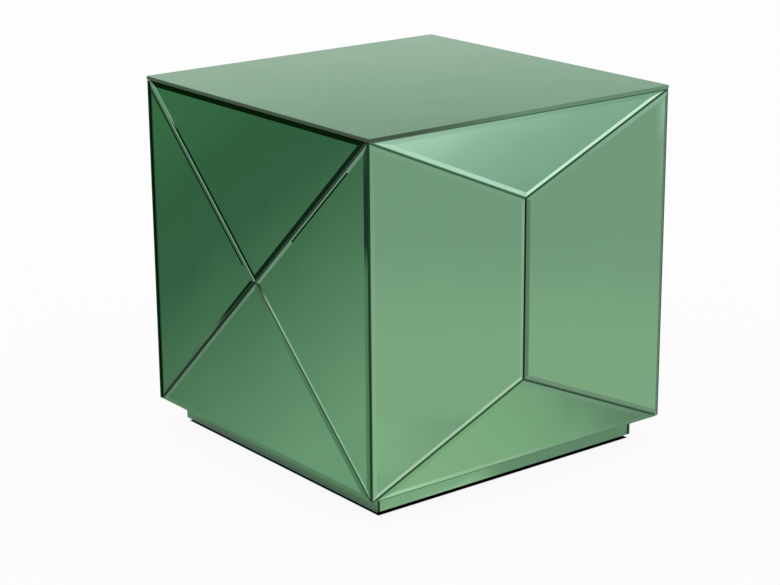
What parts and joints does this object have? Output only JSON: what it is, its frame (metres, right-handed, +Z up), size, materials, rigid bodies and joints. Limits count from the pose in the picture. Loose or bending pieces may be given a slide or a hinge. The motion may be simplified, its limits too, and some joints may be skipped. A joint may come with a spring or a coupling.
{
  "type": "mirrored cube side table",
  "caption": "Cube side table faced with green-tinted bevelled mirror panes in crossed and folded patterns, on a recessed plinth.",
  "frame": {"origin": "middle of the footprint, on the floor", "axes": "+Z up; -Y is the front, which has the crossed pattern of triangles; +X is the right side, which has the folded pattern"},
  "size_m": [0.4, 0.4, 0.4],
  "materials": {
    "mirror_glass": "green-tinted silvered float glass, polished and bevelled",
    "bonding_tape": "white foam bonding tape",
    "carcass_board": "fibreboard, painted black",
    "batten_wood": "planed softwood",
    "dowel_wood": "fluted beech",
    "plinth_board": "fibreboard, painted black",
    "screw_steel": "zinc-plated",
    "felt": "pressed felt"
  },
  "bodies": {
    "root": {"top_pane": "mirror_glass", "front_pane_top": "mirror_glass", "front_pane_right": "mirror_glass", "front_pane_bottom": "mirror_glass", "front_pane_left": "mirror_glass", "back_pane_top": "mirror_glass", "back_pane_right": "mirror_glass", "back_pane_bottom": "mirror_glass", "back_pane_left": "mirror_glass", "right_pane_top": "mirror_glass", "right_pane_back": "mirror_glass", "right_pane_bottom": "mirror_glass", "right_pane_front": "mirror_glass", "left_pane_top": "mirror_glass", "left_pane_front": "mirror_glass", "left_pane_bottom": "mirror_glass", "left_pane_back": "mirror_glass", "plinth_strip_front": "mirror_glass", "plinth_strip_right": "mirror_glass", "plinth_strip_back": "mirror_glass", "plinth_strip_left": "mirror_glass", "top_tape": "bonding_tape", "front_tape": "bonding_tape", "right_tape": "bonding_tape", "back_tape": "bonding_tape", "left_tape": "bonding_tape", "plinth_tape": "bonding_tape", "top_board": "carcass_board", "bottom_board": "carcass_board", "front_board": "carcass_board", "right_board": "carcass_board", "back_board": "carcass_board", "left_board": "carcass_board", "batten_front_left": "batten_wood", "batten_front_right": "batten_wood", "batten_back_right": "batten_wood", "batten_back_left": "batten_wood", "carcass_dowels": "dowel_wood", "plinth_rail_front": "plinth_board", "plinth_rail_right": "plinth_board", "plinth_rail_back": "plinth_board", "plinth_rail_left": "plinth_board", "plinth_block_front_left": "plinth_board", "plinth_block_front_right": "plinth_board", "plinth_block_back_right": "plinth_board", "plinth_block_back_left": "plinth_board", "plinth_screws": "screw_steel", "felt_pad_front_left": "felt", "felt_pad_front_right": "felt", "felt_pad_back_right": "felt", "felt_pad_back_left": "felt"}
  },
  "joints": []
}
